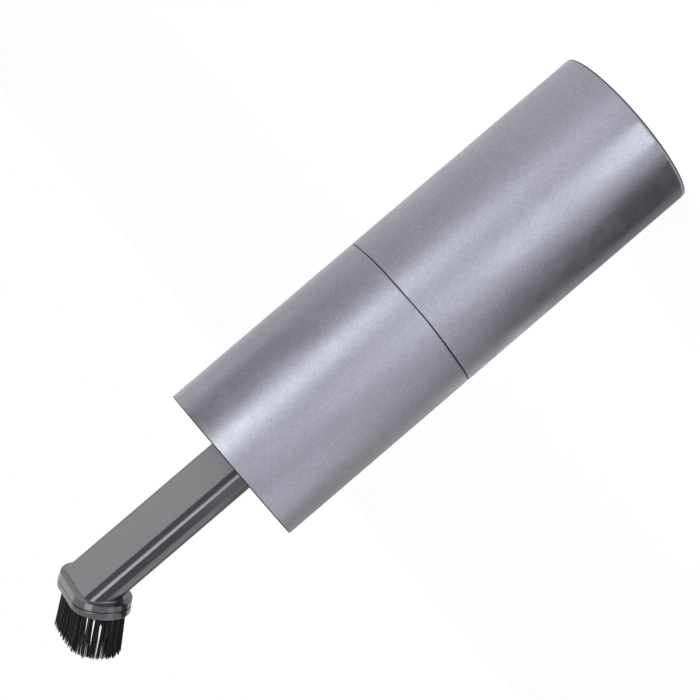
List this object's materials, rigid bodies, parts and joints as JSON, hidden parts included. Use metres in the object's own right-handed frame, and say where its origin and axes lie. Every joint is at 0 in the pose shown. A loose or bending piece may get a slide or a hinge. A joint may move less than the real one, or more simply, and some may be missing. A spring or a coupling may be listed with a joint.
{
  "type": "desk vacuum cleaner",
  "caption": "Battery-powered hand vacuum for a desk: an aluminium cylinder in halves that part at a seam, with a flat sliding nozzle, a slanted brush head and vents in its tail.",
  "frame": {"origin": "centre of the tail, on the surface that the foot stands on", "axes": "+Z from the tail to the nozzle, along the body's axis; X along the long side of the flat nozzle; the nozzle's mouth slopes towards +Y"},
  "size_m": [0.058, 0.058, 0.2461],
  "materials": {
    "anodised_aluminium": "satin anodised, fine bead-blasted",
    "grey_plastic": "glossy moulded grey",
    "dark_plastic": "fine moulded texture",
    "button_plastic": "satin",
    "white_nylon": "moulded",
    "light_guide": "frosted, translucent",
    "black_rubber": "matt",
    "silicone": "matt",
    "foam": "open-cell foam",
    "circuit_board": "green solder mask",
    "switch_plastic": "moulded",
    "bright_steel": "plated",
    "motor_steel": "zinc plated",
    "nickel": "bright",
    "cell_wrap": "heat-shrink sleeve",
    "filter_paper": "pleated glass-fibre paper",
    "bristle": "nylon bristle"
  },
  "bodies": {
    "rear_section": {"rear_sleeve": "anodised_aluminium", "tail_cap": "dark_plastic", "foot_ring": "black_rubber", "cap_screws": "bright_steel", "indicator_ring": "light_guide", "button_spring": "bright_steel", "exhaust_foam": "foam", "control_board": "circuit_board", "usb_c_socket": "bright_steel", "tact_switch": "switch_plastic", "status_leds": "light_guide", "board_screws": "bright_steel", "battery_holder": "dark_plastic", "battery_lid": "dark_plastic", "lid_screws": "bright_steel", "battery_cell_left": "cell_wrap", "battery_cell_right": "cell_wrap", "battery_tab_lower": "nickel", "battery_tabs_upper": "nickel", "motor_can": "motor_steel", "motor_end_bell": "white_nylon", "motor_mount_rear": "black_rubber", "motor_mount_front": "black_rubber", "motor_chassis": "dark_plastic", "motor_screws": "bright_steel", "fan_housing": "dark_plastic", "fan_inlet_cover": "dark_plastic", "seam_collar": "dark_plastic", "cup_seal": "black_rubber"},
    "rotor": {"impeller": "white_nylon", "motor_shaft": "bright_steel"},
    "power_button": {"power_button": "button_plastic"},
    "front_section": {"front_sleeve": "anodised_aluminium", "dust_cup": "dark_plastic", "nozzle_guide": "dark_plastic", "guide_screws": "bright_steel", "nozzle_seal": "black_rubber", "nozzle_bezel": "dark_plastic"},
    "filter_unit": {"filter_frame": "dark_plastic", "hepa_filter": "filter_paper", "prefilter_mesh": "bright_steel", "filter_gasket": "black_rubber"},
    "nozzle": {"nozzle_tube": "grey_plastic", "nozzle_stop": "dark_plastic", "flap_pin": "bright_steel"},
    "dust_flap": {"dust_flap": "silicone"},
    "brush_head": {"brush_ring": "grey_plastic", "bristle_tufts": "bristle"}
  },
  "joints": [
    {"name": "impeller_spin", "type": "hinge", "parent": "rear_section", "child": "rotor", "pos_m": [0, 0, 0.087], "axis": [0, 0, 1], "continuous": true},
    {"name": "button_press", "type": "slide", "parent": "rear_section", "child": "power_button", "axis": [0, 0, 1], "range_m": [0, 0.001], "stiffness_N_per_m": 400, "springref_m": -0.001, "deforming": ["button_spring"]},
    {"name": "cup_pull", "type": "slide", "parent": "rear_section", "child": "front_section", "axis": [0, 0, 1], "range_m": [0, 0.04]},
    {"name": "filter_pull", "type": "slide", "parent": "rear_section", "child": "filter_unit", "axis": [0, 0, 1], "range_m": [0, 0.02]},
    {"name": "nozzle_slide", "type": "slide", "parent": "front_section", "child": "nozzle", "axis": [0, 0, 1], "range_m": [-0.045, 0]},
    {"name": "flap_swing", "type": "hinge", "parent": "nozzle", "child": "dust_flap", "pos_m": [0, -0.0018, 0.1575], "axis": [-1, 0, 0], "range_deg": [0, 65], "stiffness_Nm_per_rad": 0.00002, "springref_deg": -22.92},
    {"name": "brush_pull", "type": "slide", "parent": "nozzle", "child": "brush_head", "axis": [0, 0.7071, 0.7071], "range_m": [0, 0.02]}
  ],
  "couplings": [
    {"joint": "filter_pull", "follows": "cup_pull", "ratio": 0.5}
  ]
}
